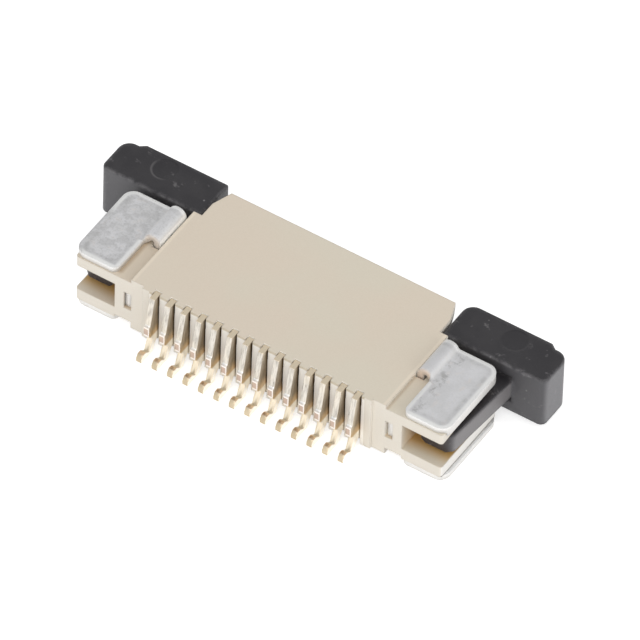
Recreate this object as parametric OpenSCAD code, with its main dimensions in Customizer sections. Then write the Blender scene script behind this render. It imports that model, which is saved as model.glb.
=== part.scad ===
// Slide-lock connector for a flat flexible cable, soldered to a circuit board
// The board's surface is z = 0, the solder feet point to -Y and the cable goes in from +Y
// The drawing's own datum is the front plane of the end walls, moved at the end so that
// the origin is the middle of the connector's box, on the board

/* [Contacts] */
// Number of contacts in the row
contact_count = 14; // [4:1:30]
// Distance between the middles of neighbouring contacts
contact_pitch = 0.5; // [0.46:0.02:1]
// Thickness of the contact sheet
contact_t = 0.18; // [0.12:0.01:0.2]
// Room on each side of a contact in its slot
contact_gap = 0.02; // [0.01:0.005:0.04]
// Height of the sprung beams
beam_h = 0.22; // [0.16:0.01:0.24]
// Room above and below the beams in their grooves
beam_gap = 0.04; // [0.02:0.01:0.06]
// Length of the upper beam behind the front wall
upper_beam_l = 2.1; // [1.6:0.05:2.15]
// Length of the lower beam behind the front wall
lower_beam_l = 1.8; // [1.2:0.05:2.1]
// Width of the contact point under the upper beam
nose_w = 0.12; // [0.08:0.01:0.2]
// Slope on each side of the contact point
nose_slope = 0.17; // [0.1:0.01:0.25]
// How far the contact point reaches into the cable's place
nose_press = 0.04; // [0.02:0.01:0.08]
// Depth of the contact's spine behind its slot's mouth
spine_depth = 0.42; // [0.3:0.01:0.44]
// Depth of the upper stem behind the end walls
stem_depth = 0.06; // [0.02:0.01:0.08]
// Drop from the housing's top to the contact's top
stem_drop = 0.02; // [0.01:0.01:0.1]
// Reach of the stem's top ahead of the end walls
stem_top_reach = 0.26; // [0.16:0.01:0.32]
// Reach of the stem's lower end ahead of the end walls
stem_low_reach = 0.45; // [0.36:0.01:0.5]
// Height of the ledge at the stem's lower end
ledge_z = 1.05; // [0.9:0.01:1.3]
// Rise of the ledge towards the stem
ledge_slope = 0.05; // [0.02:0.01:0.08]
// Step of the cut-off nub ahead of the stem
nub_proud = 0.07; // [0.03:0.01:0.1]
// Height of the cut-off nub
nub_h = 0.34; // [0.2:0.01:0.4]
// Reach of the neck between nub and foot
neck_reach = 0.33; // [0.28:0.01:0.36]
// Height of the neck
neck_z = 0.5; // [0.44:0.01:0.56]
// Width of the tail at the neck
tail_w = 0.2; // [0.16:0.01:0.24]
// Reach of the foot's tip ahead of the end walls
foot_reach = 0.88; // [0.8:0.01:1.2]
// Height of the foot's upturned toe
toe_h = 0.25; // [0.2:0.01:0.3]
// Length of the toe's flat top
toe_l = 0.13; // [0.08:0.01:0.14]
// Slope ahead of the toe's flat top
toe_slope = 0.08; // [0.04:0.01:0.12]
// Drop of that slope
toe_drop = 0.12; // [0.05:0.01:0.16]
// Height of the foot at the ankle
ankle_h = 0.11; // [0.09:0.01:0.14]
// Reach of the ankle ahead of the end walls
ankle_reach = 0.49; // [0.44:0.01:0.54]
// Reach of the heel ahead of the end walls
heel_reach = 0.34; // [0.3:0.01:0.4]

/* [Cable] */
// Thickness of the cable at its stiffened end
cable_t = 0.3; // [0.2:0.02:0.34]
// Room on each side of the cable
cable_side_gap = 0.05; // [0.03:0.01:0.1]

/* [Housing] */
// Height of the housing's body
body_h = 1.9; // [1.84:0.02:2.6]
// Height of the body's underside above the board
standoff = 0.08; // [0.04:0.01:0.12]
// Depth of the body from the end walls' front to its rear step
body_depth = 3.08; // [2.95:0.02:3.8]
// Thickness of the side walls
side_wall = 0.3; // [0.24:0.02:0.5]
// Thickness of the front wall behind the end walls' plane
front_wall = 0.5; // [0.46:0.01:0.54]
// Thickness of the floor
floor_t = 0.22; // [0.16:0.01:0.24]
// Thickness of the roof
roof_t = 0.38; // [0.3:0.01:0.4]
// Cover of the ribs beyond the beams
comb_cover = 0.02; // [0.01:0.01:0.04]
// Depth of the ribs between the beams
comb_depth = 2.72; // [2.7:0.02:2.84]
// Step of the contact field ahead of the end walls
pad_proud = 0.08; // [0.04:0.01:0.12]
// Margin of the contact field beyond the row
pad_margin = 0.18; // [0.08:0.01:0.2]
// Width of the rounded notch above each contact
notch_w = 0.24; // [0.2:0.01:0.4]
// Depth of the notch behind the end walls' plane
notch_depth = 0.025; // [0.01:0.005:0.05]
// Room behind each stem in its upright groove
groove_gap = 0.02; // [0.01:0.01:0.06]
// Step of the rear roof inside the body's sides
roof_step = 0.265; // [0.2:0.01:0.3]
// Depth of the rear roof that stays parallel
roof_straight = 0.52; // [0.3:0.02:0.7]
// Depth of the rear roof that narrows
roof_taper_l = 0.62; // [0.3:0.02:0.66]
// Narrowing of the rear roof on each side
roof_taper = 0.22; // [0.1:0.01:0.3]
// Bevel under the rear roof that leads the cable in
lead_in = 0.18; // [0.05:0.01:0.24]

/* [Flanges] */
// Drop from the body's top to the flange's top
flange_drop = 0.12; // [0.06:0.01:0.2]
// Depth of the flanges
flange_depth = 2.7; // [2.5:0.02:2.78]
// Thickness of the upper flange
upper_flange_t = 0.355; // [0.28:0.005:0.4]
// Narrowing of the upper flange towards its rear
upper_taper = 0.1; // [0:0.01:0.3]
// Radius of the flanges' front outer corners
flange_r = 0.1; // [0.04:0.01:0.14]
// Thickness of the lower flange
lower_flange_t = 0.39; // [0.3:0.01:0.44]
// Wall between the hold-down's pocket and the arm's channel
channel_wall = 0.245; // [0.15:0.005:0.4]
// Width of the arm's channel
channel_w = 1.275; // [1.2:0.025:1.4]
// Height of the end wall's underside above the hold-down's sole
end_lift = 0.095; // [0.05:0.005:0.14]
// Height of the window's sill above the board
window_z = 0.745; // [0.66:0.005:0.8]
// Height of the front window
window_h = 0.62; // [0.5:0.01:0.66]
// Width of the front window
window_w = 0.24; // [0.16:0.01:0.26]
// Cut of the window into the body's side
window_bite = 0.01; // [0:0.01:0.05]
// Thickness of the wall around the front window
window_lip = 0.05; // [0.04:0.01:0.08]
// Depth of the stop lug at the rear of the channel
lug_depth = 0.35; // [0.25:0.01:0.4]
// Height of the stop lug and of the arm's barb
lug_h = 0.4; // [0.2:0.02:0.44]

/* [Hold-downs] */
// Thickness of the hold-down sheet
sheet_t = 0.2; // [0.16:0.01:0.22]
// Inner radius of the sheet's bends
bend_r = 0.06; // [0.03:0.01:0.08]
// Rise of the bend above the top plate
hump_rise = 0.185; // [0.12:0.005:0.22]
// Gap between the body's side and the web
web_gap = 0.04; // [0.02:0.01:0.1]
// Gap between the web and the outer wall of its pocket
pocket_gap = 0.04; // [0.02:0.01:0.06]
// Setback of the plates from the end walls' front
plate_setback = 0.03; // [0:0.01:0.2]
// Overhang of the plates past the flanges' outer sides
plate_overhang = 0.08; // [0.06:0.01:0.14]
// Gap between the upper flange's side and the lip turned down over it
lip_gap = 0.02; // [0.01:0.01:0.03]
// Height of that lip below the top plate
lip_h = 0.13; // [0.05:0.01:0.2]
// Overhang of the plates past the flanges' rear
plate_over = 0.08; // [0:0.01:0.12]
// Inner edge of the top plate, from the channel's wall
plate_inset = 0.015; // [0:0.005:0.1]
// Length of the neck that joins a plate to the web
neck_l = 1.3; // [0.8:0.05:1.4]
// Radius of the plates' outer corners
plate_r = 0.34; // [0.1:0.02:0.5]
// Radius of the plates' inner front corners
plate_inner_r = 0.2; // [0.1:0.02:0.3]
// Radius in the notch beside the neck
neck_r = 0.14; // [0.06:0.02:0.18]
// Gap between the window's wall and the web's tongue
tongue_gap = 0.03; // [0.02:0.01:0.1]
// Room above and below the web's tongue
tongue_room = 0.045; // [0.02:0.005:0.08]

/* [Slider] */
// Travel between locked and open
travel = 0.85; // [0.5:0.05:0.9]
// Gap between the body's step and the slider's wings
wing_gap = 0.045; // [0.02:0.005:0.1]
// Depth of the wings
wing_depth = 1.375; // [1.25:0.025:1.8]
// Gap between the rear roof's side and the wings
wing_side_gap = 0.045; // [0.02:0.005:0.1]
// Width of each wing
wing_w = 3.29; // [2.8:0.01:4]
// Drop from the body's top to the wings' top
wing_drop = 0.075; // [0:0.005:0.2]
// Height of the wings' underside above the board
wing_z = 0.19; // [0.08:0.01:0.3]
// Radius of the wings' front outer corners
wing_r = 0.2; // [0.1:0.02:0.3]
// Radius of the wings' rear corners
wing_rear_r = 0.36; // [0.1:0.02:0.38]
// Radius of the left wing's inner rear corner
left_inner_r = 0.06; // [0.02:0.02:0.38]
// Width of the set-back end of each wing
end_w = 0.45; // [0.4:0.01:0.6]
// Setback of that end from the wing's rear
end_setback = 0.13; // [0.05:0.01:0.2]
// Length of the slope down to the set-back end
end_slope = 0.17; // [0.1:0.01:0.5]
// Radius of the ejector mark on each wing
mark_r = 0.375; // [0.2:0.025:0.4]
// Depth of the ejector mark
mark_depth = 0.02; // [0.01:0.01:0.05]
// Distance of the ejector mark from the wing's outer end
mark_inset = 1.52; // [1.2:0.01:1.8]
// Distance of the ejector mark from the wing's rear
mark_back = 0.485; // [0.44:0.005:0.8]
// Depth of the recess above the arm's root
root_recess = 0.12; // [0.05:0.01:0.2]
// Height of the recess above and below the arm
root_recess_h = 0.16; // [0.05:0.01:0.24]
// Gap between the arm and the channel's roof and floor
arm_gap = 0.13; // [0.05:0.01:0.16]
// Gap between the arm and the channel's inner wall
arm_side_gap = 0.35; // [0.28:0.01:0.4]
// Setback of the arm's end from the end walls' front
arm_setback = 0.425; // [0.2:0.025:0.5]
// Width of the arm at its front end
arm_w = 0.955; // [0.7:0.005:1]
// Widening of the arm towards its root
arm_taper = 0.2; // [0:0.02:0.3]
// Bevel of the arm's lower inner edge
arm_bevel = 0.15; // [0.05:0.01:0.2]
// Bevel of the arm's outer front corner
arm_nose = 0.17; // [0.04:0.01:0.2]
// Gap between the barb and the channel's inner wall
barb_gap = 0.075; // [0.04:0.005:0.12]
// Length of the barb's flat end
barb_l = 0.2; // [0.1:0.02:0.3]
// Length of the barb's lead-in slope
barb_slope = 0.2; // [0.1:0.02:0.3]
// Gap between the stop lug and the arm
lug_gap = 0.03; // [0.02:0.005:0.06]
// Gap left between barb and lug when fully open
stop_gap = 0.05; // [0.02:0.01:0.1]
// Thickness of the blade under the cable
blade_t = 0.18; // [0.12:0.01:0.2]
// Gap between the blade and the ribs under it
blade_gap = 0.04; // [0.02:0.01:0.06]
// Gap between the blade and the side walls
blade_side_gap = 0.08; // [0.04:0.01:0.2]
// Length of the blade ahead of its crossbar
blade_l = 1.8; // [1.2:0.05:2]
// Bevel at the blade's tip
blade_bevel = 0.1; // [0.04:0.01:0.12]
// Gap between the housing's floor and the crossbar
bar_gap = 0.12; // [0.05:0.01:0.2]
// Setback of the crossbar from the wings' rear
bar_setback = 0.1; // [0:0.02:0.3]
// Bevel of the crossbar's rear edge
bar_bevel = 0.2; // [0.05:0.01:0.3]

/* [Hidden] */
// Overshoot of cuts past the faces they open
cut = 1;
// Sides of every round edge
$fn = 48;
// Sides of each bend of the sheet
arc_steps = 16;

// Colours
housing_colour = [0.84, 0.8, 0.73];
slider_colour = [0.22, 0.22, 0.24];
contact_colour = [0.9, 0.8, 0.6];
plate_colour = [0.75, 0.75, 0.74];

// Heights
body_top = standoff + body_h;
floor_top = standoff + floor_t;
roof_z = body_top - roof_t;
lower_beam_z = floor_top + beam_gap;
comb_low_z = lower_beam_z + beam_h + comb_cover;
upper_beam_z = roof_z - beam_gap - beam_h;
comb_high_z = upper_beam_z - comb_cover;
blade_z = comb_low_z + blade_gap;
blade_top = blade_z + blade_t;
nose_z = blade_top + cable_t - nose_press;
flange_top = body_top - flange_drop;
channel_top = flange_top - upper_flange_t;
channel_z = sheet_t + lower_flange_t;
channel_h = channel_top - channel_z;
channel_mid = channel_z + channel_h / 2;
end_z = sheet_t + end_lift;
plate_top = flange_top + sheet_t;
hump_top = plate_top + hump_rise;
wing_top = body_top - wing_drop;
arm_z = channel_z + arm_gap;
arm_top = channel_top - arm_gap;

// Half widths, from the middle outwards
row_hw = contact_count * contact_pitch / 2;
slot_w = contact_t + 2 * contact_gap;
cavity_hw = (contact_count + 1) * contact_pitch / 2 + cable_side_gap;
body_hw = cavity_hw + side_wall;
pad_hw = row_hw + pad_margin;
roof_hw = body_hw - roof_step;
roof_tip_hw = roof_hw - roof_taper;
web_x = body_hw + web_gap;
web_out = web_x + sheet_t;
pocket_out = web_out + pocket_gap;
channel_x = pocket_out + channel_wall;
flange_out = channel_x + channel_w;
plate_in = channel_x - plate_inset;
plate_out = flange_out + plate_overhang;
window_x = body_hw - window_bite;
wing_in = roof_hw + wing_side_gap;
wing_out = wing_in + wing_w;
arm_in = channel_x + arm_side_gap;
arm_out = arm_in + arm_w;
blade_hw = cavity_hw - blade_side_gap;

// Depths, from the end walls' front plane
roof_bend_y = body_depth + roof_straight;
roof_y = roof_bend_y + roof_taper_l;
plate_y = flange_depth + plate_over;
neck_y = plate_y - neck_l;
tongue_y = window_lip + tongue_gap;
wing_y = body_depth + wing_gap;
wing_rear = wing_y + wing_depth;
bar_y = body_depth + bar_gap;
bar_rear = wing_rear - bar_setback;
blade_y = bar_y - blade_l;
lug_y = flange_depth - lug_depth;
barb_rear = lug_y - travel - stop_gap;
groove_depth = stem_depth + groove_gap;
upper_beam_y = front_wall + upper_beam_l;
lower_beam_y = front_wall + lower_beam_l;
middle_y = (wing_rear - foot_reach) / 2;

// Radii of a bend: middle of the sheet, and the two bends' centres of the hump
bend_mid = bend_r + sheet_t / 2;
hump_x = web_out + bend_r;
hump_z = hump_top - bend_r - sheet_t;
hump_dz = 2 * bend_mid - hump_rise;
hump_dx = sqrt(pow(2 * bend_mid, 2) - pow(hump_dz, 2));
hump_angle = acos(hump_dz / (2 * bend_mid));

// Names of the contacts, numbered from the left
function contact_name(i) = str("contact_", i < 10 ? "0" : "", i);

// Place of contact i along the row
function contact_x(i) = (i - (contact_count + 1) / 2) * contact_pitch;

// A box between two corners
module block(low, high) {
    translate(low)
        cube(high - low);
}

// A profile in Y and Z, swept along X about x = 0
module across(width) {
    rotate([90, 0, 90])
        linear_extrude(height = width, center = true)
            children();
}

// A profile in X and Z, swept along Y from y0 to y1
module along(y0, y1) {
    translate([0, y1, 0])
        rotate([90, 0, 0])
            linear_extrude(height = y1 - y0)
                children();
}

// What an upright edge loses when it is rounded, for a solid that lies towards dx, dy
module corner_cut(x, y, r, dx, dy) {
    translate([x + dx * r, y + dy * r, 0])
        difference() {
            translate([dx > 0 ? -r - cut : 0, dy > 0 ? -r - cut : 0, -cut])
                cube([r + cut, r + cut, body_top + 2 * cut]);
            translate([0, 0, -2 * cut])
                cylinder(r = r, h = body_top + 4 * cut);
        }
}

// Points of an arc about x and z, between two angles
function arc(x, z, r, from, to, first = 0) = [
    for (k = [first:arc_steps])
        let (a = from + (to - from) * k / arc_steps)
            [x + r * cos(a), z + r * sin(a)]
];

// The same shape on the right and on the left
module both_sides() {
    children();
    mirror([1, 0, 0])
        children();
}

// From the drawing's datum to the connector's own origin
module seated() {
    translate([0, -middle_y, 0])
        children();
}

// Rear roof over the cable's mouth, with a lead-in bevel below its edge
module rear_roof() {
    intersection() {
        translate([0, 0, roof_z])
            linear_extrude(height = roof_t)
                polygon([
                    [-roof_hw, body_depth - side_wall],
                    [roof_hw, body_depth - side_wall],
                    [roof_hw, roof_bend_y],
                    [roof_tip_hw, roof_y],
                    [-roof_tip_hw, roof_y],
                    [-roof_hw, roof_bend_y]
                ]);
        across(2 * body_hw)
            polygon([
                [0, roof_z],
                [roof_y - lead_in, roof_z],
                [roof_y, roof_z + lead_in],
                [roof_y, body_top],
                [0, body_top]
            ]);
    }
}

// Flanges above and below the arm's channel, with the end wall that joins them to the body
module flange() {
    block([body_hw - window_bite, 0, end_z], [channel_x, flange_depth, flange_top]);
    difference() {
        union() {
            translate([0, 0, channel_top])
                linear_extrude(height = upper_flange_t)
                    polygon([
                        [channel_x - channel_wall, 0],
                        [flange_out, 0],
                        [flange_out - upper_taper, flange_depth],
                        [channel_x - channel_wall, flange_depth]
                    ]);
            block([channel_x, 0, sheet_t], [flange_out, flange_depth, channel_z]);
        }
        corner_cut(flange_out, 0, flange_r, -1, 1);
    }
    block([channel_x - channel_wall / 2, 0, end_z], [channel_x + channel_wall, flange_depth, channel_z]);
    stop_lug();
}

// Lug that the slider's barb meets when the slider is open
module stop_lug() {
    translate([0, 0, channel_mid - lug_h / 2])
        linear_extrude(height = lug_h)
            polygon([
                [channel_x - channel_wall / 2, lug_y],
                [arm_in - lug_gap, lug_y],
                [arm_in - lug_gap, lug_y + lug_depth / 2],
                [channel_x, flange_depth],
                [channel_x - channel_wall / 2, flange_depth]
            ]);
}

// Pocket for a hold-down's web, open at the rear, with its window at the front
module web_pocket() {
    block([body_hw, neck_y - pocket_gap, -cut], [pocket_out, flange_depth + cut, body_top + cut]);
    block([window_x, window_lip, window_z], [pocket_out, neck_y, window_z + window_h]);
    block([window_x, -cut, window_z], [window_x + window_w, neck_y, window_z + window_h]);
}

// Slot, groove and notch for one contact
module contact_slot() {
    block([-slot_w / 2, -cut, floor_top], [slot_w / 2, comb_depth, roof_z]);
    block([-slot_w / 2, -cut, -cut], [slot_w / 2, groove_depth, body_top + cut]);
    translate([0, notch_depth - notch_w / 2, roof_z])
        cylinder(d = notch_w, h = roof_t + cut);
}

// Moulded body that holds the contacts and takes the cable
module housing() {
    color(housing_colour)
        seated()
            difference() {
                union() {
                    block([-body_hw, 0, standoff], [body_hw, body_depth, body_top]);
                    block([-pad_hw, -pad_proud, standoff], [pad_hw, front_wall, body_top]);
                    rear_roof();
                    difference() {
                        both_sides()
                            flange();
                        both_sides()
                            web_pocket();
                    }
                }
                both_sides()
                    block([window_x, -cut, window_z], [body_hw + window_bite, neck_y, window_z + window_h]);
                block([-cavity_hw, front_wall, comb_low_z], [cavity_hw, body_depth + cut, comb_high_z]);
                block([-cavity_hw, comb_depth, floor_top], [cavity_hw, body_depth + cut, roof_z]);
                for (i = [1:contact_count])
                    translate([contact_x(i), 0, 0])
                        contact_slot();
            }
}

// Outline of a contact in Y and Z: stem, nub, foot, lower beam, spine, upper beam
module contact_outline() {
    nub_z = ledge_z - nub_h;
    nub_reach = stem_low_reach + nub_proud;
    beam_tip = lower_beam_y - beam_h / 2;
    nose_y = upper_beam_y - nose_slope;
    nose_front = nose_y - nose_w;
    polygon([
        [-stem_top_reach, body_top - stem_drop],
        [-stem_low_reach, ledge_z + ledge_slope],
        [-nub_reach, ledge_z],
        [-nub_reach, nub_z],
        [-neck_reach, neck_z],
        [-ankle_reach, ankle_h],
        [toe_slope + toe_l - foot_reach, toe_h],
        [toe_slope - foot_reach, toe_h],
        [-foot_reach, toe_h - toe_drop],
        [-foot_reach, 0],
        [-heel_reach, 0],
        [tail_w - neck_reach, lower_beam_z],
        [beam_tip, lower_beam_z],
        [lower_beam_y, lower_beam_z + beam_h / 2],
        [lower_beam_y, lower_beam_z + beam_h],
        [spine_depth, lower_beam_z + beam_h],
        [spine_depth, upper_beam_z],
        [nose_front - nose_slope, upper_beam_z],
        [nose_front, nose_z],
        [nose_y, nose_z],
        [upper_beam_y, upper_beam_z],
        [upper_beam_y, upper_beam_z + beam_h],
        [stem_depth, upper_beam_z + beam_h],
        [stem_depth, body_top - stem_drop]
    ]);
}

// One sheet contact, standing on edge in its slot
module contact(i) {
    color(contact_colour)
        seated()
            translate([contact_x(i), 0, 0])
                across(contact_t)
                    contact_outline();
}

// Flat plate of a hold-down between two heights, with rounded corners
module plate(z0, z1) {
    difference() {
        block([plate_in, plate_setback, z0], [plate_out, plate_y, z1]);
        corner_cut(plate_out, plate_setback, plate_r, -1, 1);
        corner_cut(plate_out, plate_y, plate_r, -1, -1);
        corner_cut(plate_in, plate_setback, plate_inner_r, 1, 1);
    }
}

// Outer edge of the top plate, turned down over the upper flange's side
module lip() {
    difference() {
        plate(flange_top - lip_h, plate_top);
        block([plate_in - cut, -cut, -cut], [flange_out + lip_gap, plate_y + cut, hump_top]);
    }
}

// Bent strip of a hold-down: top plate's hump, web and sole
module strip(y0, y1) {
    outer_r = bend_r + sheet_t;
    turn = 90 - hump_angle;
    valley_x = hump_x + hump_dx;
    valley_z = hump_z + hump_dz;
    strip_end = plate_out - plate_r;
    along(y0, y1)
        polygon(concat(
            [[strip_end, plate_top]],
            arc(valley_x, valley_z, bend_r, 270, 180 + turn),
            arc(hump_x, hump_z, outer_r, turn, 180, 1),
            arc(hump_x, outer_r, outer_r, 180, 270),
            [[strip_end, 0], [strip_end, sheet_t]],
            arc(hump_x, outer_r, bend_r, 270, 180),
            arc(hump_x, hump_z, bend_r, 180, turn),
            arc(valley_x, valley_z, outer_r, 180 + turn, 270, 1),
            [[strip_end, flange_top]]
        ));
}

// Notch ahead of the strip, with a round inner corner beside the plate
module strip_notch() {
    block([web_x - cut, neck_y - neck_r - cut, -cut], [plate_in - neck_r, neck_y, hump_top + cut]);
    translate([plate_in - neck_r, neck_y - neck_r, -cut])
        cylinder(r = neck_r, h = hump_top + 2 * cut);
}

// Folded sheet that clasps both flanges and is soldered to the board
module hold_down() {
    color(plate_colour)
        seated() {
            plate(flange_top, plate_top);
            plate(0, sheet_t);
            lip();
            difference() {
                strip(neck_y - neck_r, plate_y);
                strip_notch();
            }
            block(
                [web_x, tongue_y, window_z + tongue_room],
                [web_out, neck_y + neck_r, window_z + window_h - tongue_room]
            );
        }
}

module hold_down_right() {
    hold_down();
}

module hold_down_left() {
    mirror([1, 0, 0])
        hold_down();
}

// Outline of the right wing from above
module wing_outline() {
    polygon([
        [wing_in, wing_y],
        [wing_out, wing_y],
        [wing_out, wing_rear - end_setback],
        [wing_out - end_w, wing_rear - end_setback],
        [wing_out - end_w - end_slope, wing_rear],
        [wing_in, wing_rear]
    ]);
}

// Finger wing at the right end of the slider, with the radius of its inner rear corner
module wing(inner_r) {
    difference() {
        translate([0, 0, wing_z])
            linear_extrude(height = wing_top - wing_z)
                wing_outline();
        corner_cut(wing_out, wing_y, wing_r, -1, 1);
        corner_cut(wing_out, wing_rear - end_setback, wing_rear_r, -1, -1);
        corner_cut(wing_in, wing_rear, inner_r, 1, -1);
        translate([wing_out - mark_inset, wing_rear - mark_back, wing_top - mark_depth])
            cylinder(r = mark_r, h = cut);
        block(
            [arm_in, wing_y - cut, arm_z - root_recess_h],
            [arm_out + arm_taper, wing_y + root_recess, arm_top + root_recess_h]
        );
    }
}

// Guide arm that runs in a flange's channel, with its barb
module arm() {
    arm_end = wing_y + root_recess + wing_r;
    intersection() {
        translate([0, 0, arm_z])
            linear_extrude(height = arm_top - arm_z)
                polygon([
                    [arm_in, arm_setback],
                    [arm_out - arm_nose, arm_setback],
                    [arm_out, arm_setback + arm_nose],
                    [arm_out + arm_taper, wing_y],
                    [arm_out + arm_taper, arm_end],
                    [arm_in, arm_end]
                ]);
        along(arm_setback, arm_end)
            polygon([
                [arm_in + arm_bevel, arm_z],
                [arm_out + arm_taper, arm_z],
                [arm_out + arm_taper, arm_top],
                [arm_in, arm_top],
                [arm_in, arm_z + arm_bevel]
            ]);
    }
    translate([0, 0, channel_mid - lug_h / 2])
        linear_extrude(height = lug_h)
            polygon([
                [arm_in + arm_bevel, barb_rear - barb_l - barb_slope],
                [arm_in, barb_rear - barb_l - barb_slope],
                [channel_x + barb_gap, barb_rear - barb_l],
                [channel_x + barb_gap, barb_rear],
                [arm_in + arm_bevel, barb_rear]
            ]);
}

// Crossbar under the cable's mouth and the blade that presses the cable up
module blade() {
    across(2 * (wing_in + wing_r))
        polygon([
            [bar_y, wing_z],
            [bar_rear, wing_z],
            [bar_rear, blade_top - bar_bevel],
            [bar_rear - bar_bevel, blade_top],
            [bar_y, blade_top]
        ]);
    across(2 * blade_hw)
        polygon([
            [blade_y, blade_z],
            [bar_y + bar_bevel, blade_z],
            [bar_y + bar_bevel, blade_top],
            [blade_y + blade_bevel, blade_top],
            [blade_y, blade_top - blade_bevel]
        ]);
}

// Sliding lock that is drawn out to free the cable
module slider() {
    color(slider_colour)
        seated() {
            wing(wing_rear_r);
            mirror([1, 0, 0])
                wing(left_inner_r);
            both_sides()
                arm();
            blade();
        }
}

housing();
slider();
hold_down_left();
hold_down_right();
for (i = [1:contact_count])
    contact(i);
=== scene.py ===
import math

import bpy
from mathutils import Matrix, Vector


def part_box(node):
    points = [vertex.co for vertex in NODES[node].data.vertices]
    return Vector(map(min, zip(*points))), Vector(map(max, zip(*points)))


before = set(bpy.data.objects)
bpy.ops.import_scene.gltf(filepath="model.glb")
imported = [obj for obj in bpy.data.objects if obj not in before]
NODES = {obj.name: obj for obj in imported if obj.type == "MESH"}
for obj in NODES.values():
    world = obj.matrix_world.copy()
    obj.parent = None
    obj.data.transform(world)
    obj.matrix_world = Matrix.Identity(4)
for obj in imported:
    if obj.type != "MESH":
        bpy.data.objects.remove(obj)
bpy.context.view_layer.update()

MM = 0.001
CONTACTS = sorted(name for name in NODES if name.startswith("contact_"))
HOLD_DOWNS = ["hold_down_left", "hold_down_right"]


def corners(name):
    """Lowest and highest corner of a CAD node at rest, in millimetres."""
    return [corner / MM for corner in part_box(name)]


# Camera, fitted to the photograph: angles in degrees, lengths in metres, the sensor in millimetres
AZIMUTH = 31.62
ELEVATION = 47.21
ROLL = 1.87
DISTANCE = 0.357
CLIP_RATIO = 10
TARGET = Vector((0.0, 0.19, 0.98)) * MM
OFFSET_RIGHT = 0.598 * MM
OFFSET_UP = 0.071 * MM
IMAGE_WIDTH = 640
PIXELS_PER_METRE = 36960
SENSOR = 36.0

# Light tent: its levels low down and high up, those two heights, and how it leans to the right and back
TENT_BRIGHT = 1.0
TENT_DIM = 0.62
TENT_LOW = 0.1
TENT_HIGH = 0.9
TENT_RIGHT = -0.25
TENT_BACK = 0.4

# Lamps: place and width in metres, power in watts
LAMPS = {
    "front": {"place": (0.06, -0.38, 0.16), "size": 0.15, "power": 0.25},
    "side": {"place": (0.36, -0.08, 0.14), "size": 0.2, "power": 0.2},
}

# Floor: its level and its own glow, how far it reaches and how far it lies under the feet, in metres
FLOOR_LEVEL = 0.86
FLOOR_GLOW = 0.6
FLOOR_REACH = 2.0
FLOOR_DROP = 0.01 * MM

# Places from here on are in millimetres; this deep under a face still counts as on it
SKIN = 0.02

# Shares of a normal between which a face turns up or aside
TURNED_UP = (0.35, 0.85)
TURNED_ASIDE = (0.55, 0.8)

# Range that holds most of a noise's values
NOISE_LOW = 0.3
NOISE_HIGH = 0.7

# Corners of the CAD nodes, from which places are measured
HOUSING_LOW, HOUSING_HIGH = corners("housing")
SLIDER_LOW, SLIDER_HIGH = corners("slider")
HOLD_DOWN_LOW, HOLD_DOWN_HIGH = corners("hold_down_right")
CONTACT_LOW, CONTACT_HIGH = corners(CONTACTS[0])
NEXT_CONTACT_LOW = corners(CONTACTS[1])[0]
TOP_Z = HOUSING_HIGH.z

# Hold-downs: sheet, top plate, the neck that joins it to the hump, and the web beside the body
SHEET = 0.2
WEB_IN = HOLD_DOWN_LOW.x
PLATE_IN = WEB_IN + 0.47
PLATE_OUT = HOLD_DOWN_HIGH.x
PLATE_FRONT = HOLD_DOWN_LOW.y
PLATE_REAR = HOLD_DOWN_HIGH.y
PLATE_RADIUS = 0.34
PLATE_SHADE = PLATE_FRONT + 1.48
RIM_W = 0.07
# Width inside the rim that is darkened, partly stain and partly painted shade
RIM_STAIN_AND_SHADE = 0.24
HUMP_STAIN = (0.08, 0.4)
NECK_FRONT = PLATE_REAR - 1.3
NECK_Z = TOP_Z - 0.18

# Contacts: pitch, leaning stem, ledge, cut-off nub under it, and toe
PITCH = NEXT_CONTACT_LOW.x - CONTACT_LOW.x
CONTACT_HALF = (CONTACT_HIGH.x - CONTACT_LOW.x) / 2
CONTACT_TOP = CONTACT_HIGH.z
TOE_TIP = CONTACT_LOW.y
TOE_END = TOE_TIP + 0.06
TOE_TOP_Y = TOE_TIP + 0.2
TOE_TOP_Z = 0.22
LEDGE_Z = 1.05
LEDGE_H = 0.05
NUB_LOW = LEDGE_Z - 0.34
NUB_FRONT = TOE_TIP + 0.37
NUB_RIM = 0.04
STEM_FRONT = TOE_TIP + 0.43
STEM_LEAN = 0.22
STEM_SHADE = 0.22

# Housing: contact row and grooves, pockets of the webs, body and gutters, flanges and channels, windows
ROW_FRONT = HOUSING_LOW.y
ROW_SIDE = 0.11 - CONTACT_LOW.x
RIB_CAP = 0.04
FRONT_Y = ROW_FRONT + 0.08
GROOVE_LOW = TOP_Z - 0.18
GROOVE_REAR = FRONT_Y + 0.12
POCKET_GAP = 0.04
POCKET_OUT = WEB_IN + SHEET + POCKET_GAP
POCKET_FRONT = NECK_FRONT - 0.05
POCKET_LOW = TOP_Z - 0.48
BODY_SIDE = WEB_IN - POCKET_GAP
# Width of the painted highlight along the body's top edges
SHEEN_W = 0.1
FLANGE_TOP = TOP_Z - 0.12
FLANGE_SIDE = HOUSING_HIGH.x
GUTTER_H = 0.06
GUTTER_LINE = 0.07
CHANNEL_IN = POCKET_OUT + 0.24
CHANNEL_LOW = SHEET + 0.37
CHANNEL_HIGH = FLANGE_TOP - 0.34
CHANNEL_TAN = (-0.1, 0.35)
CHANNEL_GOLD = (0.15, 0.7)
CHANNEL_LAG = 0.15
WINDOW_IN = BODY_SIDE - 0.03
WINDOW_OUT = WINDOW_IN + 0.28
WINDOW_LOW = CHANNEL_LOW + 0.15
SILL_H = 0.06
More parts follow.
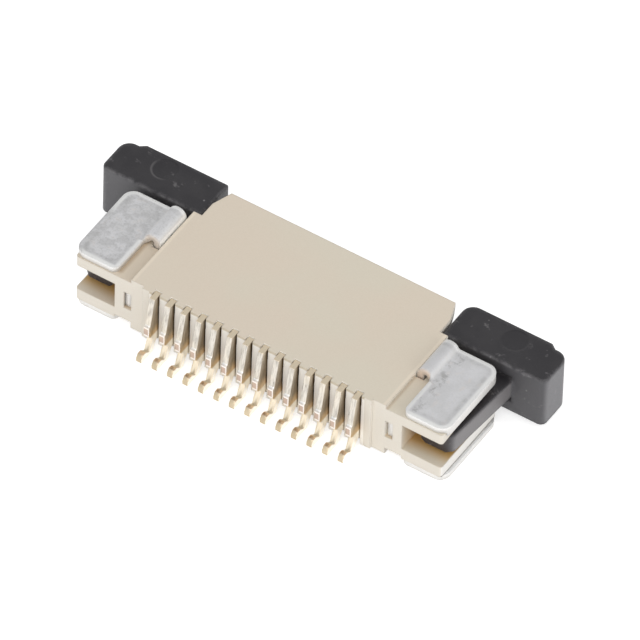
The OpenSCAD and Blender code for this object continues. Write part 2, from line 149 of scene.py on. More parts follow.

# Slider: wings with a round ejector mark, arms, and the front corner at the left end, which is painted
# lighter as lit
WING_OUT, WING_REAR, WING_TOP = SLIDER_HIGH
WING_IN = WING_OUT - 3.29
WING_FRONT = WING_REAR - 1.375
WING_END = WING_IN + 0.6
LIT_CORNER = 0.37 - WING_OUT
MARK_X = WING_OUT - 1.52
MARK_Y = WING_REAR - 0.485
MARK_RADIUS = 0.375
MARK_RING = 0.03
ARM_MIDDLE = WING_IN + 1.32

# Edges: angles from which one is sharp and up to which it is flat, how near points are one, and rounding
SHARP = math.radians(35)
FLAT = math.radians(0.5)
WELD = 0.0005
EDGE_SAMPLES = 4
ROUND_SEGMENTS = 4
SLIDER_RADIUS = 0.05

# Boxes round the slider's edges: the wing's top and the arm's outer side are rounded, the mark stays sharp
AROUND = 0.05
WING_BOX = (
    (WING_IN - AROUND, WING_FRONT - AROUND, WING_TOP - AROUND),
    (WING_OUT + AROUND, WING_REAR + AROUND, WING_TOP + AROUND),
)
ARM_BOX = (
    (ARM_MIDDLE, SLIDER_LOW.y - AROUND, CHANNEL_LOW),
    (WING_OUT, WING_FRONT - AROUND, CHANNEL_HIGH),
)
MARK_CLEAR = MARK_RADIUS + SKIN
MARK_BOX = (
    (MARK_X - MARK_CLEAR, MARK_Y - MARK_CLEAR, WING_TOP - AROUND),
    (MARK_X + MARK_CLEAR, MARK_Y + MARK_CLEAR, WING_TOP + AROUND),
)


def srgb(*levels):
    """A colour given as 8-bit display levels, as linear light."""
    shares = (level / 255 for level in levels)
    return tuple(share / 12.92 if share <= 0.04045 else ((share + 0.055) / 1.055) ** 2.4 for share in shares)


# Housing's colours
CREAM_TOP = srgb(232, 219, 201)
CREAM_TOP_COOL = srgb(230, 221, 203)
# Sides: the cream painted a little paler, standing in for the light the sides catch
CREAM_SIDE_LIT = srgb(233, 226, 214)
# Lower flanges' outer sides, painted near-white as lit faces
CREAM_FLANGE_LIT = srgb(246, 243, 238)
# Painted highlight on the body's top edges
CREAM_EDGE_SHEEN = srgb(245, 232, 212)
# Ribs painted near-white, standing in for light in the stems' shadow
CREAM_RIB_LIT = srgb(252, 247, 239)
# Painted shade in the arms' channels, tan and then golden further in
CREAM_SHADE = srgb(214, 187, 145)
CREAM_SHADE_GOLD = srgb(204, 160, 92)
# Grain colour, also laid on the ribs' tops as painted shade
CREAM_GRAIN_AND_SHADE = srgb(208, 195, 172)
# Painted shade in the gutters
CREVICE_SHADE = srgb(168, 140, 102)
# Walls of narrow gaps painted near-white to lift the shade in them
GAP_WALL_LIT = srgb(255, 250, 240)
# Painted shade on the window sills
SILL_SHADE = srgb(240, 222, 196)
# Painted shadow line in the gap over the hold-down's sole
SEAM_SHADOW = srgb(112, 106, 98)

# Slider's colours
COAL_TOP = srgb(44, 42, 46)
COAL_TOP_PALE = srgb(52, 50, 53)
# Slider's sides painted paler than the top, standing in for the light they catch
COAL_SIDE_LIT = srgb(76, 75, 78)
# Painted light on the ends and on the left front corner
COAL_LIT = srgb(112, 111, 114)
# Painted light on the arms' outer sides
COAL_ARM_LIT = srgb(124, 121, 122)
# Painted shade on the arms' noses
COAL_NOSE_SHADE = srgb(56, 50, 50)
# Pale edges: partly scuffs and partly painted highlight
COAL_EDGE_WEAR_AND_SHEEN = srgb(126, 124, 126)
COAL_DISC = srgb(38, 36, 40)
# Scuffs and specks, also the painted highlight on the mark's ring
COAL_SCUFF_AND_GLINT = srgb(150, 147, 148)

# Hold-downs' colours
TIN = srgb(237, 237, 239)
TIN_DULL = srgb(228, 228, 229)
TIN_WARM = srgb(238, 233, 230)
# Stains, also used for the painted shade inside the plates' rims
TIN_STAIN_AND_SHADE = srgb(184, 183, 182)
TIN_SIDE = srgb(224, 222, 219)
# Painted highlight on the rims and on the hump's side towards the body
TIN_HIGHLIGHT = srgb(250, 250, 249)
TIN_CUT = srgb(236, 223, 212)

# Contacts' colours
SILVER = srgb(196, 190, 180)
SILVER_PALE = srgb(220, 214, 204)
SILVER_DARK = srgb(158, 152, 144)
GOLD = srgb(246, 230, 203)
TAIL = srgb(232, 221, 200)
# Tails' flanks painted near-white, standing in for the bright light they catch
TAIL_LIT = srgb(251, 245, 233)
FLANK = srgb(208, 198, 180)
# Painted shade deep in the slots between the ribs
FLANK_SHADE = srgb(136, 118, 92)
# Flanks painted lighter and golden low down, out of the painted shade
FLANK_LOW = srgb(202, 172, 126)
COPPER = srgb(188, 166, 151)
# Painted highlight on the nubs' rims and on the ledges
PAINTED_HIGHLIGHT = srgb(255, 253, 250)
# Toes' tops painted lighter, making up for the shade they lie in
TOE_TOP = srgb(236, 210, 180)
TOE_FRONT = srgb(196, 180, 152)


def make_camera():
    """Camera at the photograph's viewing angle."""
    turn = Matrix.Rotation(math.radians(AZIMUTH), 4, "Z")
    tilt = Matrix.Rotation(math.radians(90 - ELEVATION), 4, "X")
    roll = Matrix.Rotation(math.radians(ROLL), 4, "Z")
    offset = Matrix.Translation((OFFSET_RIGHT, OFFSET_UP, DISTANCE))
    data = bpy.data.cameras.new("camera")
    data.sensor_width = SENSOR
    data.lens = PIXELS_PER_METRE * DISTANCE * SENSOR / IMAGE_WIDTH
    data.clip_start = DISTANCE / CLIP_RATIO
    data.clip_end = DISTANCE * CLIP_RATIO
    camera = bpy.data.objects.new("camera", data)
    camera.matrix_world = Matrix.Translation(TARGET) @ turn @ tilt @ roll @ offset
    bpy.context.scene.collection.objects.link(camera)
    bpy.context.scene.camera = camera


class Nodes:
    """A node tree with short names for the nodes that this scene uses."""

    def __init__(self, tree):
        self.tree = tree

    def put(self, socket, value):
        """Links a socket to another, or sets it to a plain value."""
        if isinstance(value, bpy.types.NodeSocket):
            self.tree.links.new(value, socket)
        elif socket.type == "RGBA" and len(value) == 3:
            socket.default_value = (*value, 1)
        else:
            socket.default_value = value

    def add(self, kind, **inputs):
        """A new node, with some of its inputs linked or set by name."""
        node = self.tree.nodes.new(kind)
        for name, value in inputs.items():
            self.put(node.inputs[name.replace("_", " ")], value)
        return node

    def math(self, operation, *values):
        """Result of an operation on one, two or three values."""
        node = self.tree.nodes.new("ShaderNodeMath")
        node.operation = operation
        for socket, value in zip(node.inputs, values):
            self.put(socket, value)
        return node.outputs[0]

    def fold(self, operation, values):
        """One value out of several, by an operation on two at a time."""
        result, *others = values
        for value in others:
            result = self.math(operation, result, value)
        return result

    def both(self, *masks):
        """Product of masks: 1 where all of them are."""
        return self.fold("MULTIPLY", masks)

    def most(self, *masks):
        """Highest of some masks: 1 where any of them is."""
        return self.fold("MAXIMUM", masks)

    def without(self, mask):
        """1 where a mask is 0, and 0 where it is 1."""
        return self.math("SUBTRACT", 1.0, mask)

    def scaled(self, mask, low, high):
        """A value that is low where a mask is 0 and high where it is 1."""
        return self.math("MULTIPLY_ADD", mask, high - low, low)

    def band(self, value, low, high):
        """0 at low, 1 at high and smooth between, whichever of them is greater."""
        node = self.add("ShaderNodeMapRange", Value=value, From_Min=low, From_Max=high)
        node.interpolation_type = "SMOOTHSTEP"
        return node.outputs["Result"]

    def above(self, value, level, fade):
        """1 from a level upwards, fading to 0 below it."""
        return self.band(value, level - fade, level)

    def below(self, value, level, fade):
        """1 up to a level, fading to 0 above it."""
        return self.band(value, level + fade, level)

    def inside(self, value, low, high, soft):
        """1 between low and high, with a soft change at both."""
        return self.both(
            self.band(value, low - soft, low + soft),
            self.band(value, high + soft, high - soft),
        )

    def spread(self, noise, low, high):
        """A noise spread over a range."""
        node = self.add("ShaderNodeMapRange", Value=noise, To_Min=low, To_Max=high)
        self.put(node.inputs["From Min"], NOISE_LOW)
        self.put(node.inputs["From Max"], NOISE_HIGH)
        return node.outputs["Result"]

    def mix(self, factor, first, second):
        """First colour where a factor is 0, and second one where it is 1."""
        node = self.tree.nodes.new("ShaderNodeMix")
        node.data_type = "RGBA"
        colours = [socket for socket in node.inputs if socket.type == "RGBA"]
        self.put(node.inputs[0], factor)
        self.put(colours[0], first)
        self.put(colours[1], second)
        return next(socket for socket in node.outputs if socket.type == "RGBA")

    def paint(self, base, colour, *masks, strength=1.0):
        """A colour laid over another one where all masks are 1."""
        return self.mix(self.both(*masks, strength), base, colour)


class Surface(Nodes):
    """One procedural material, whose places are measured in millimetres and whose edges look rounded."""

    def __init__(self, name, edge=0.0):
        self.material = bpy.data.materials.new(name)
        self.material.use_nodes = True
        super().__init__(self.material.node_tree)
        self.bsdf = self.tree.nodes["Principled BSDF"]
        place = self.add("ShaderNodeTexCoord").outputs["Object"]
        self.place = self.add("ShaderNodeMapping", Vector=place, Scale=(1 / MM,) * 3).outputs[0]
        self.x, self.y, self.z = self.add("ShaderNodeSeparateXYZ", Vector=self.place).outputs
        self.side = self.math("ABSOLUTE", self.x)
        self.left = self.math("LESS_THAN", self.x, 0.0)
        soft = self.add("ShaderNodeBevel", Radius=edge * MM)
        soft.samples = EDGE_SAMPLES
        self.normal = soft.outputs[0]
        right, back, self.upward = self.add("ShaderNodeSeparateXYZ", Vector=self.normal).outputs
        self.sideways = self.math("ABSOLUTE", right)
        self.up = self.band(self.upward, *TURNED_UP)
        self.flank = self.band(self.sideways, *TURNED_ASIDE)
        self.front = self.band(self.math("MULTIPLY", back, -1.0), *TURNED_ASIDE)

    def set(self, **inputs):
        """Links or sets inputs of the shader by name."""
        for name, value in inputs.items():
            self.put(self.bsdf.inputs[name.replace("_", " ")], value)

    def by_end(self, left, right):
        """One value at the left end and another one at the right end."""
        return self.scaled(self.left, right, left)

    def noise(self, scale, detail=3.0, roughness=0.5, stretch=(1, 1, 1)):
        """Cloudy noise, with its scale counted per millimetre."""
        place = self.add("ShaderNodeMapping", Vector=self.place, Scale=stretch).outputs[0]
        node = self.add("ShaderNodeTexNoise", Vector=place, Scale=scale, Detail=detail, Roughness=roughness)
        return node.outputs["Fac"]

    def specks(self, scale, radius, share):
        """Small round spots in a share of the cells of a random grid."""
        cells = self.add("ShaderNodeTexVoronoi", Vector=self.place, Scale=scale)
        chosen = self.add("ShaderNodeSeparateColor", Color=cells.outputs["Color"]).outputs[0]
        spot = self.band(cells.outputs["Distance"], radius, radius / 2)
        return self.both(spot, self.math("LESS_THAN", chosen, share))

    def edge_distance(self, low, high, radius):
        """Distance inside a rounded rectangle in plan, on either side of the middle."""
        reach = []
        for value, start, end in zip((self.side, self.y), low, high):
            away = self.math("ABSOLUTE", self.math("SUBTRACT", value, (start + end) / 2))
            reach.append(self.math("SUBTRACT", away, (end - start) / 2 - radius))
        outer = [self.math("POWER", self.math("MAXIMUM", part, 0.0), 2.0) for part in reach]
        corner = self.math("SQRT", self.math("ADD", *outer))
        flat = self.math("MINIMUM", self.math("MAXIMUM", *reach), 0.0)
        return self.math("SUBTRACT", radius, self.math("ADD", corner, flat))

    def bump(self, height, depth, strength):
        """Fine relief on the rounded shape."""
        node = self.add("ShaderNodeBump", Height=height, Distance=depth * MM, Strength=strength)
        self.put(node.inputs["Normal"], self.normal)
        self.set(Normal=node.outputs["Normal"])


def housing_material():
    """Cream moulding: warm on top, with its sides painted a little paler as lit faces, and a fine grain."""
    face = Surface("cream_plastic", edge=0.05)
    cloud = face.noise(scale=0.3, detail=2.0)
    grain = face.noise(scale=26.0, detail=4.0, roughness=0.6)
    top = face.mix(face.band(cloud, low=0.38, high=0.62), CREAM_TOP, CREAM_TOP_COOL)
    # Sides painted a little paler than the top, as painted light
    base = face.mix(face.up, CREAM_SIDE_LIT, top)
    base = face.paint(base, CREAM_GRAIN_AND_SHADE, face.spread(grain, low=0.0, high=0.16))
    base = paint_lower_flanges(face, base)
    base = paint_contact_row(face, base)
    base = paint_gutters(face, base)
    base = paint_windows(face, base)
    base = paint_channels(face, base)
    face.set(Base_Color=base, Roughness=face.spread(grain, low=0.46, high=0.6), IOR=1.5)
    face.bump(grain, depth=0.0025, strength=0.5)
    return face.material


def paint_lower_flanges(face, base):
    """Outer sides painted pale as lit faces, with a painted shadow line over the hold-down's sole."""
    outside = face.both(
        face.flank,
        face.above(face.side, FLANGE_SIDE - SKIN, fade=SKIN),
        face.below(face.z, CHANNEL_LOW, fade=0.03),
    )
    # Painted light: the outer sides near-white
    base = face.paint(base, CREAM_FLANGE_LIT, outside)
    # Painted shadow: a dark line where the flange meets the sole
    return face.paint(base, SEAM_SHADOW, outside, face.below(face.z, SHEET + SKIN, fade=0.03))


def paint_contact_row(face, base):
    """Ribs between the contacts, painted pale against the stems' shadow with painted shade on their tan
    tops, and the walls of the grooves behind them painted pale to lift their shade.
    """
    in_row = face.below(face.side, ROW_SIDE, fade=SKIN)
    # Painted light on the ribs, and painted shade on their tops
    ribs = face.both(face.front, face.below(face.y, ROW_FRONT + SKIN, fade=0.03), in_row)
    rib_top_shade = face.above(face.z, TOP_Z - RIB_CAP, fade=0.08)
    base = face.paint(base, face.mix(rib_top_shade, CREAM_RIB_LIT, CREAM_GRAIN_AND_SHADE), ribs)
    groove = face.both(
        face.without(face.up),
        in_row,
        face.above(face.z, GROOVE_LOW, fade=0.1),
        face.inside(face.y, FRONT_Y, GROOVE_REAR, soft=SKIN),
    )
    # Painted light: the groove walls near-white
    return face.paint(base, GAP_WALL_LIT, groove)


def paint_gutters(face, base):
    """Gutters beside the body with painted shade, unlike left and right, pockets painted pale to lift their
    shade, and a painted highlight on the body's top edges.
    """
    pocket = face.both(
        face.without(face.up),
        face.above(face.side, BODY_SIDE, fade=SKIN),
        face.below(face.side, POCKET_OUT, fade=SKIN),
        face.above(face.z, POCKET_LOW, fade=0.2),
        face.above(face.y, POCKET_FRONT, fade=0.03),
    )
    # Painted light: the pocket walls near-white
    base = face.paint(base, GAP_WALL_LIT, pocket)
    gutter = face.inside(face.z, FLANGE_TOP - SKIN, FLANGE_TOP + GUTTER_H, soft=0.03)
    right_line = face.inside(face.x, BODY_SIDE, BODY_SIDE + GUTTER_LINE, soft=0.04)
    left_plate = face.both(
        face.below(face.x, SKIN - PLATE_IN, fade=0.18),
        face.band(face.y, PLATE_FRONT, PLATE_FRONT + 0.2),
    )
    left_end = face.below(face.x, -BODY_SIDE - SKIN, fade=2 * SKIN)
    shade = face.most(face.both(right_line, 0.35), face.both(left_plate, 0.7), face.both(left_end, 0.14))
    # Painted shade along the gutters, by the body on the right and by the plate and end on the left
    base = face.paint(base, CREVICE_SHADE, gutter, shade)
    # Painted highlight along the body's top edges
    edge_sheen = face.both(
        face.up,
        face.inside(face.side, BODY_SIDE - SHEEN_W, BODY_SIDE, soft=0.03),
        face.above(face.z, TOP_Z - SKIN, fade=0.03),
    )
    return face.paint(base, CREAM_EDGE_SHEEN, edge_sheen, strength=0.65)


def paint_windows(face, base):
    """Sill of each front window, painted a warm tan as shade."""
    sill = face.both(
        face.inside(face.side, WINDOW_IN, WINDOW_OUT, soft=0.01),
        face.inside(face.z, WINDOW_LOW, WINDOW_LOW + SILL_H, soft=0.01),
        face.above(face.y, FRONT_Y + 2 * SKIN, fade=SKIN),
    )
    # Painted shade on the sill
    return face.paint(base, SILL_SHADE, sill)


def paint_channels(face, base):
    """Arms' channels, with painted shade that turns tan and then golden inwards, on their floors a little
    later.
    """
    depth = face.math("SUBTRACT", face.y, FRONT_Y)
    lag = face.both(face.up, CHANNEL_LAG)
    channel = face.both(
        face.inside(face.side, CHANNEL_IN, FLANGE_SIDE - SKIN, soft=0.03),
        face.inside(face.z, CHANNEL_LOW, CHANNEL_HIGH, soft=SKIN),
        face.band(face.math("SUBTRACT", depth, lag), *CHANNEL_TAN),
    )
    # Painted shade, deepening into the channel
    return face.paint(base, face.mix(face.band(depth, *CHANNEL_GOLD), CREAM_SHADE, CREAM_SHADE_GOLD), channel)


def slider_material():
    """Dark moulding: smooth on top, with its sides painted paler as lit faces, specks and scuffs, and pale
    edges that are partly scuffs and partly painted highlight.
    """
    face = Surface("dark_plastic", edge=0.2)
    cloud = face.noise(scale=1.1, detail=4.0, roughness=0.6)
    grain = face.noise(scale=20.0, detail=5.0, roughness=0.65)
    # Noise that breaks up the pale edges and the painted highlight on the mark's ring
    edge_sheen = face.noise(scale=5.0, detail=4.0, roughness=0.6)
    scuff = face.noise(scale=3.5, detail=6.0, roughness=0.7)
    across = face.math("SUBTRACT", face.side, MARK_X)
    along = face.math("SUBTRACT", face.y, MARK_Y)
    away = face.math("SQRT", face.math("ADD", face.both(across, across), face.both(along, along)))
    towards_light = face.math("SUBTRACT", across, along)
    on_arm = face.below(face.y, WING_FRONT - 2 * SKIN, fade=2 * SKIN)
    top = face.mix(face.band(cloud, low=0.35, high=0.65), COAL_TOP, COAL_TOP_PALE)
    top = paint_mark(face, top, away, face.math("ADD", towards_light, face.both(edge_sheen, 0.4)))
    # Sides painted paler than the top, as painted light
    base = face.mix(face.up, slider_sides(face, on_arm), top)
    # Pale edges, partly scuffs and partly painted highlight
    edge = face.both(
        face.inside(face.upward, 0.45, 0.92, soft=0.06),
        face.band(edge_sheen, low=0.35, high=0.6),
        face.without(on_arm),
        face.above(face.side, WING_IN, fade=SKIN),
        face.above(away, MARK_RADIUS + 0.1, fade=0.05),
    )
    base = face.paint(base, COAL_EDGE_WEAR_AND_SHEEN, edge, strength=0.7)
    base = face.paint(base, COAL_SCUFF_AND_GLINT, face.band(scuff, low=0.6, high=0.72), strength=0.35)
    base = face.paint(base, COAL_SCUFF_AND_GLINT, face.specks(scale=2.6, radius=0.1, share=0.3), strength=0.55)
    face.set(Base_Color=base, Roughness=face.spread(grain, low=0.4, high=0.55), IOR=1.5)
    face.bump(face.math("ADD", grain, face.both(cloud, 2.0)), depth=0.004, strength=0.6)
    return face.material


def paint_mark(face, top, away, towards_light):
    """Round ejector mark: a darker disc, with a painted highlight on its ring on the side towards the light.
    """
    top = face.paint(top, COAL_DISC, face.below(away, MARK_RADIUS - 0.05, fade=0.05), strength=0.6)
    ring = face.inside(away, MARK_RADIUS - SKIN, MARK_RADIUS + MARK_RING, soft=0.03)
    lit = face.band(towards_light, low=0.2, high=0.7)
    # Painted highlight on the ring's side towards the light
    return face.paint(top, COAL_SCUFF_AND_GLINT, ring, lit, strength=face.by_end(left=0.3, right=0.08))


def slider_sides(face, on_arm):
    """Fronts, painted lighter at the left front corner and with painted shade on the arms' noses, and the
    ends of wings and arms painted paler as lit faces.
    """
    # Painted light: the left front corner paler
    sides = face.paint(COAL_SIDE_LIT, COAL_LIT, face.below(face.x, LIT_CORNER, fade=0.9), strength=0.3)
    # Painted shade on the arms' noses
    sides = face.paint(sides, COAL_NOSE_SHADE, on_arm, face.front)
    # Painted light: ends of wings and arms paler, as lit faces
    ends = face.both(face.band(face.sideways, low=0.7, high=0.97), face.above(face.side, WING_END, fade=0.3))
    return face.paint(sides, face.mix(on_arm, COAL_LIT, COAL_ARM_LIT), ends)


def hold_down_material():
    """Matte tin plate: mottled, darkened inside its rolled rim by stains and painted shade, with a painted
    highlight on the rim, bare where it was cut.
    """
    face = Surface("tin_plate", edge=0.16)
    cloud = face.noise(scale=1.5, detail=5.0, roughness=0.65)
    patches = face.noise(scale=3.4, detail=3.0, roughness=0.6)
    fine = face.noise(scale=16.0, detail=5.0, roughness=0.65)
    base = face.mix(face.band(cloud, low=0.36, high=0.64), TIN_DULL, TIN)
    base = face.paint(base, TIN_WARM, face.band(patches, low=0.56, high=0.68), strength=0.4)
    flecks = face.band(fine, low=0.48, high=0.62)
    base = face.paint(base, TIN_STAIN_AND_SHADE, flecks, strength=face.by_end(left=0.22, right=0.05))
    on_plate = face.above(face.side, PLATE_IN + 0.1, fade=0.15)
    dull = face.both(face.left, on_plate, face.band(patches, low=0.54, high=0.42))
    base = face.paint(base, TIN_STAIN_AND_SHADE, dull, strength=0.3)
    base = paint_plate(face, base)
    base = paint_hump(face, base)
    face.set(Base_Color=base, Metallic=0.8, Roughness=face.spread(fine, low=0.5, high=0.65))
    face.bump(fine, depth=0.004, strength=0.6)
    return face.material


def paint_plate(face, base):
    """Top plate: darkening inside its rim that is partly stain and partly painted shade, stains beside the
    hump, and a painted highlight on the rim, left off at the shaded left end.
    """
    depth = face.edge_distance((0.0, PLATE_FRONT), (PLATE_OUT, PLATE_REAR), PLATE_RADIUS)
    beside = face.math("SUBTRACT", face.side, PLATE_IN)
    behind_neck = face.above(face.y, NECK_FRONT + 0.1, fade=0.3)
    depth = face.math("MINIMUM", depth, face.math("ADD", beside, behind_neck))
    smudge = face.band(face.noise(scale=4.5, detail=6.0, roughness=0.7), low=0.46, high=0.62)
    # Darkening inside the rim: partly stain, partly painted shade
    by_rim = face.both(
        face.inside(depth, 2 * RIM_W, RIM_STAIN_AND_SHADE, soft=RIM_W),
        face.scaled(smudge, low=0.2, high=0.5),
    )
    by_hump = face.both(
        face.inside(beside, *HUMP_STAIN, soft=0.14),
        smudge,
        face.by_end(left=0.25, right=0.7),
    )
    base = face.paint(base, TIN_STAIN_AND_SHADE, face.up, face.most(by_rim, by_hump))
    base = face.mix(face.up, TIN_SIDE, base)
    shaded = face.both(
        face.left,
        face.above(face.side, PLATE_OUT - 0.1, fade=0.2),
        face.below(face.y, PLATE_SHADE, fade=0.7),
    )
    # Painted highlight on the rolled rim
    rim_highlight = face.both(face.below(depth, RIM_W, fade=0.08), face.band(face.upward, low=0.15, high=0.5))
    return face.paint(base, TIN_HIGHLIGHT, rim_highlight, face.without(shaded))


def paint_hump(face, base):
    """Raised bend: stained at the right end, with a painted highlight on its side towards the body, bare at
    its cut front.
    """
    crest = face.both(face.without(face.left), face.below(face.side, PLATE_IN - 0.1, fade=0.1), face.up)
    base = face.paint(base, TIN_STAIN_AND_SHADE, crest, strength=0.2)
    # Painted highlight on the web's side towards the body
    base = face.paint(base, TIN_HIGHLIGHT, face.flank, face.below(face.side, WEB_IN + 0.01, fade=0.03))
    cut = face.both(
        face.front,
        face.below(face.side, PLATE_IN - 2 * SKIN, fade=2 * SKIN),
        face.above(face.z, NECK_Z, fade=0.05),
    )
    return face.paint(base, TIN_CUT, cut, strength=face.by_end(left=0.4, right=1.0))


def contact_material():
    """Plated sheet: streaked silver stems, golden tails with their flanks painted pale as lit, bare copper
    where strips were cut off.
    """
    face = Surface("plated_contact", edge=0.03)
    streak = face.noise(scale=9.0, detail=4.0, roughness=0.6, stretch=(2.2, 1.0, 0.3))
    tone = face.noise(scale=1.3, detail=2.0)
    # Painted light on the tails' flanks
    tail = face.mix(face.flank, TAIL, TAIL_LIT)
    base = face.paint(tail, stem_colour(face, streak), face.above(face.z, NUB_LOW, fade=0.12))
    base = paint_nub(face, base)
    base = paint_toe(face, base)
    base = face.paint(base, GOLD, face.up, face.above(face.z, CONTACT_TOP - SKIN, fade=SKIN))
    base = face.paint(base, GOLD, face.band(tone, low=0.45, high=0.7), strength=0.2)
    face.set(Base_Color=base, Metallic=1.0, Roughness=face.spread(streak, low=0.26, high=0.42))
    face.bump(streak, depth=0.003, strength=0.6)
    return face.material


def stem_colour(face, streak):
    """Streaked front of the stem, and its flanks: painted shade that deepens inwards, painted lighter and
    golden low down, and painted pale in the groove to lift its shade.
    """
    front = face.mix(face.band(streak, low=0.42, high=0.6), SILVER, SILVER_PALE)
    front = face.paint(front, SILVER_DARK, face.band(streak, low=0.42, high=0.3))
    front_y = face.math("MULTIPLY_ADD", face.z, STEM_LEAN, STEM_FRONT - STEM_LEAN * LEDGE_Z)
    depth = face.math("SUBTRACT", face.y, front_y)
    # Painted shade, deepening behind the stem's front
    flank = face.mix(face.band(depth, low=0.0, high=STEM_SHADE), FLANK, FLANK_SHADE)
    flank = face.paint(flank, FLANK_LOW, face.band(face.z, low=LEDGE_Z, high=NUB_LOW))
    in_groove = face.both(
        face.above(face.z, GROOVE_LOW, fade=0.1),
        face.above(face.y, FRONT_Y + SKIN, fade=2 * SKIN),
    )
    # Painted light: the flank near-white in the groove
    flank = face.paint(flank, GAP_WALL_LIT, in_groove)
    return face.mix(face.flank, front, flank)


def paint_nub(face, base):
    """Bare copper end of the nub with a painted highlight on its rim, under a painted highlight on the
    ledge.
    """
    nub = face.both(
        face.inside(face.z, NUB_LOW, LEDGE_Z, soft=0.03),
        face.below(face.y, NUB_FRONT, fade=2 * SKIN),
        face.without(face.flank),
    )
    base = face.paint(base, COPPER, nub)
    across = face.math("FLOORED_MODULO", face.x, PITCH)
    rim_highlight = face.most(
        face.above(across, PITCH / 2 + CONTACT_HALF - SKIN, fade=0.03),
        face.below(face.z, NUB_LOW + NUB_RIM, fade=0.04),
        face.above(face.z, LEDGE_Z - NUB_RIM, fade=0.03),
    )
    # Painted highlight on the nub's rim
    base = face.paint(base, PAINTED_HIGHLIGHT, nub, rim_highlight, strength=0.75)
    ledge = face.inside(face.z, LEDGE_Z + SKIN, LEDGE_Z + SKIN + LEDGE_H, soft=0.015)
    # Painted highlight on the ledge's top
    return face.paint(base, PAINTED_HIGHLIGHT, ledge, face.up)


def paint_toe(face, base):
    """Solder foot's toe, painted lighter and warm on top to make up for the shade it lies in, and duller in
    front.
    """
    top = face.both(
        face.up,
        face.below(face.y, TOE_TOP_Y, fade=0.06),
        face.above(face.z, TOE_TOP_Z, fade=0.04),
    )
    # Painted light on the toe's top
    base = face.paint(base, TOE_TOP, top)
    return face.paint(base, TOE_FRONT, face.without(face.flank), face.below(face.y, TOE_END, fade=2 * SKIN))


def in_box(nodes, place, box):
    """1 where a place is in a box."""
    low, high = box
    over = [nodes.math("GREATER_THAN", value, limit * MM) for value, limit in zip(place, low)]
    under = [nodes.math("LESS_THAN", value, limit * MM) for value, limit in zip(place, high)]
    return nodes.both(*over, *under)


def round_slider(node):
    """Rounds those of the slider's sharp edges that have their middle in the boxes, left and right alike."""
    tree = bpy.data.node_groups.new("mark_edges", "GeometryNodeTree")
    for way in ("INPUT", "OUTPUT"):
        tree.interface.new_socket("Mesh", in_out=way, socket_type="NodeSocketGeometry")
    nodes = Nodes(tree)
    middle = nodes.add("GeometryNodeInputPosition").outputs[0]
    x, y, z = nodes.add("ShaderNodeSeparateXYZ", Vector=middle).outputs
    place = (nodes.math("ABSOLUTE", x), y, z)
    chosen = nodes.most(in_box(nodes, place, WING_BOX), in_box(nodes, place, ARM_BOX))
    angle = nodes.add("GeometryNodeInputMeshEdgeAngle").outputs["Unsigned Angle"]
    sharp = nodes.math("GREATER_THAN", angle, SHARP)
    weight = nodes.both(chosen, nodes.without(in_box(nodes, place, MARK_BOX)), sharp)
    mark = nodes.add("GeometryNodeStoreNamedAttribute", Name="bevel_weight_edge", Value=weight)
    mark.domain = "EDGE"
    nodes.put(mark.inputs["Geometry"], nodes.add("NodeGroupInput").outputs[0])
    nodes.put(nodes.add("NodeGroupOutput").inputs[0], mark.outputs[0])
    node.modifiers.new("marks", "NODES").node_group = tree
    bevel = node.modifiers.new("round", "BEVEL")
    bevel.width = SLIDER_RADIUS * MM
    bevel.segments = ROUND_SEGMENTS
    bevel.limit_method = "WEIGHT"
    bevel.use_clamp_overlap = False
    bevel.loop_slide = False


def dress(name, material, edge, segments):
    """Gives a CAD node its finish and takes off its sharp edges, as far as small features allow."""
    node = NODES[name]
    node.data.materials.clear()
    node.data.materials.append(material)
    weld = node.modifiers.new("weld", "WELD")
    weld.merge_threshold = WELD * MM
    flat = node.modifiers.new("flat", "DECIMATE")
    flat.decimate_type = "DISSOLVE"
    flat.angle_limit = FLAT
    if name == "slider":
        round_slider(node)
    bevel = node.modifiers.new("bevel", "BEVEL")
    bevel.width = edge * MM
    bevel.segments = segments
    bevel.limit_method = "ANGLE"
    bevel.angle_limit = SHARP
    for polygon in node.data.polygons:
        polygon.use_smooth = True
    smooth = node.modifiers.new("normals", "WEIGHTED_NORMAL")
    smooth.keep_sharp = False


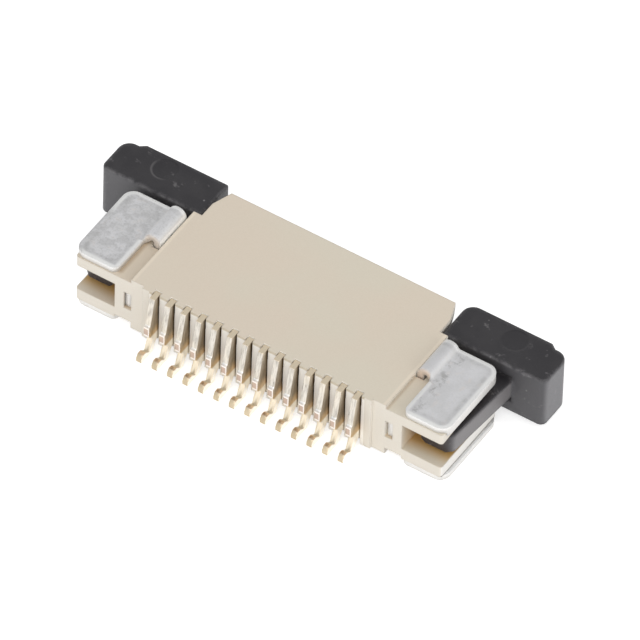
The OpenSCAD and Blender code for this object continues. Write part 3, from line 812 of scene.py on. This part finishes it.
def make_floor():
    """Pale floor that stays white to the camera and still takes the shadow."""
    mesh = bpy.data.meshes.new("floor")
    square = ((-1, -1, 0), (1, -1, 0), (1, 1, 0), (-1, 1, 0))
    mesh.from_pydata([Vector(corner) * FLOOR_REACH for corner in square], [], [(0, 1, 2, 3)])
    floor = bpy.data.objects.new("floor", mesh)
    floor.location.z = -FLOOR_DROP
    bpy.context.scene.collection.objects.link(floor)
    face = Surface("floor")
    path = face.add("ShaderNodeLightPath").outputs
    seen = face.most(path["Is Camera Ray"], path["Is Glossy Ray"], path["Is Transmission Ray"])
    face.set(Base_Color=(FLOOR_LEVEL,) * 3, Roughness=0.9, Specular_IOR_Level=0.0)
    face.set(Emission_Color=(1, 1, 1), Emission_Strength=face.both(seen, FLOOR_GLOW))
    mesh.materials.append(face.material)


def make_world():
    """Studio tent: bright low down, in front and at the right, dimmer overhead and behind."""
    world = bpy.data.worlds.new("tent")
    bpy.context.scene.world = world
    world.use_nodes = True
    tent = Nodes(world.node_tree)
    direction = tent.add("ShaderNodeTexCoord").outputs["Generated"]
    right, back, up = tent.add("ShaderNodeSeparateXYZ", Vector=direction).outputs
    height = tent.math("MULTIPLY_ADD", right, TENT_RIGHT, up)
    height = tent.math("MULTIPLY_ADD", back, TENT_BACK, height)
    level = tent.scaled(tent.band(height, TENT_LOW, TENT_HIGH), TENT_BRIGHT, TENT_DIM)
    seen = tent.add("ShaderNodeLightPath").outputs["Is Camera Ray"]
    background = world.node_tree.nodes["Background"]
    tent.put(background.inputs["Color"], (1, 1, 1))
    tent.put(background.inputs["Strength"], tent.most(seen, tent.both(level, tent.without(seen))))


def make_lamp(name, place, size, power):
    """Soft lamp aimed at the object."""
    data = bpy.data.lights.new(name, "AREA")
    data.shape = "DISK"
    data.size = size
    data.energy = power
    lamp = bpy.data.objects.new(name, data)
    lamp.location = place
    lamp.rotation_mode = "QUATERNION"
    lamp.rotation_quaternion = Vector(place).to_track_quat("Z", "Y")
    bpy.context.scene.collection.objects.link(lamp)


make_camera()
make_world()
make_floor()
for name, lamp in LAMPS.items():
    make_lamp(name, **lamp)

dress("housing", housing_material(), edge=0.022, segments=3)
dress("slider", slider_material(), edge=0.02, segments=2)
tin = hold_down_material()
for name in HOLD_DOWNS:
    dress(name, tin, edge=0.075, segments=5)
plating = contact_material()
for name in CONTACTS:
    dress(name, plating, edge=0.012, segments=2)

bpy.context.scene.view_settings.view_transform = "Standard"
